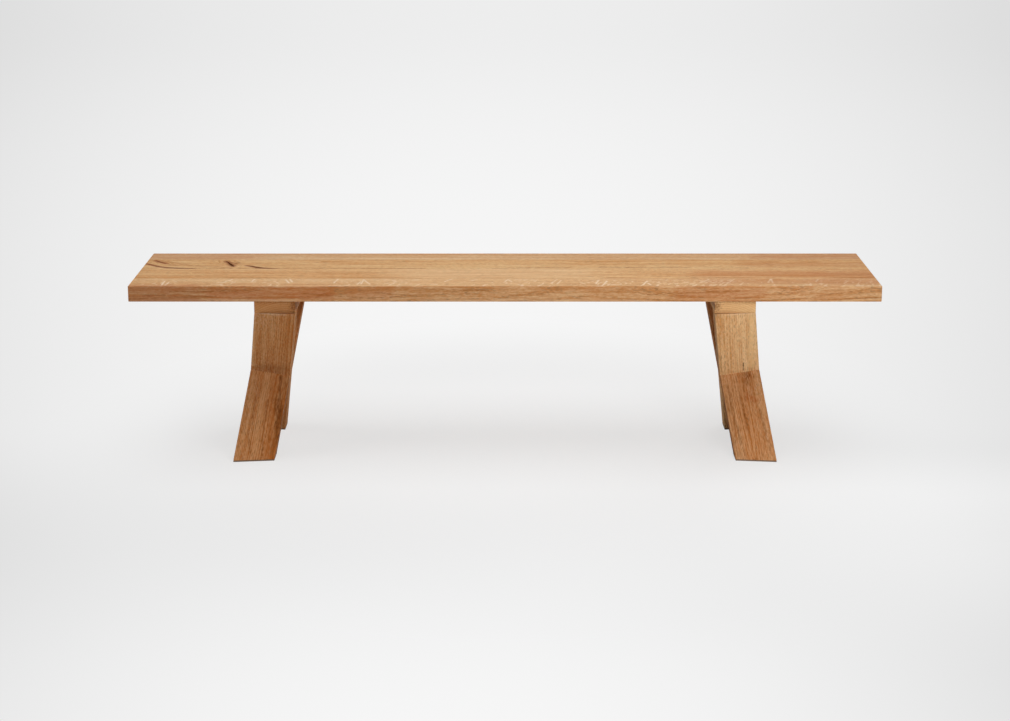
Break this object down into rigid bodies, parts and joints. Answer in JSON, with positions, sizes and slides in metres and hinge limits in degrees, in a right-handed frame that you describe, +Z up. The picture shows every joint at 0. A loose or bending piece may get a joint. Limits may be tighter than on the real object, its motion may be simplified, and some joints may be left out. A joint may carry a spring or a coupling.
{
  "type": "dining bench",
  "caption": "Long backless oak dining bench: a thick plank seat on two outward-leaning trestles of crossed legs.",
  "frame": {"origin": "on the floor, under the middle of the seat", "axes": "+X along the bench to its right as seen from the front, +Y to its back, +Z up"},
  "size_m": [1.8, 0.4, 0.443],
  "materials": {
    "seat_oak": "oiled oak, satin, quarter-sawn at the front with ray flecks",
    "rail_oak": "oiled oak, satin, end grain at both ends",
    "leg_oak": "oiled oak, satin",
    "dowel_beech": "plain turned beech",
    "bolt_steel": "black oxide",
    "zinc_steel": "bright zinc plate",
    "glide_felt": "dark brown pressed felt"
  },
  "bodies": {
    "root": {"seat_board_rear": "seat_oak", "seat_board_mid_rear": "seat_oak", "seat_board_mid_front": "seat_oak", "seat_board_front": "seat_oak", "left_top_rail": "rail_oak", "left_front_foot_leg": "leg_oak", "left_front_glide": "glide_felt", "left_front_dowel_1": "dowel_beech", "left_front_dowel_2": "dowel_beech", "left_rear_foot_leg": "leg_oak", "left_rear_glide": "glide_felt", "left_rear_dowel_1": "dowel_beech", "left_rear_dowel_2": "dowel_beech", "left_bolt_1": "bolt_steel", "left_washer_1": "zinc_steel", "left_insert_1": "zinc_steel", "left_bolt_2": "bolt_steel", "left_washer_2": "zinc_steel", "left_insert_2": "zinc_steel", "left_bolt_3": "bolt_steel", "left_washer_3": "zinc_steel", "left_insert_3": "zinc_steel", "left_bolt_4": "bolt_steel", "left_washer_4": "zinc_steel", "left_insert_4": "zinc_steel", "right_top_rail": "rail_oak", "right_front_foot_leg": "leg_oak", "right_front_glide": "glide_felt", "right_front_dowel_1": "dowel_beech", "right_front_dowel_2": "dowel_beech", "right_rear_foot_leg": "leg_oak", "right_rear_glide": "glide_felt", "right_rear_dowel_1": "dowel_beech", "right_rear_dowel_2": "dowel_beech", "right_bolt_1": "bolt_steel", "right_washer_1": "zinc_steel", "right_insert_1": "zinc_steel", "right_bolt_2": "bolt_steel", "right_washer_2": "zinc_steel", "right_insert_2": "zinc_steel", "right_bolt_3": "bolt_steel", "right_washer_3": "zinc_steel", "right_insert_3": "zinc_steel", "right_bolt_4": "bolt_steel", "right_washer_4": "zinc_steel", "right_insert_4": "zinc_steel"}
  },
  "joints": []
}
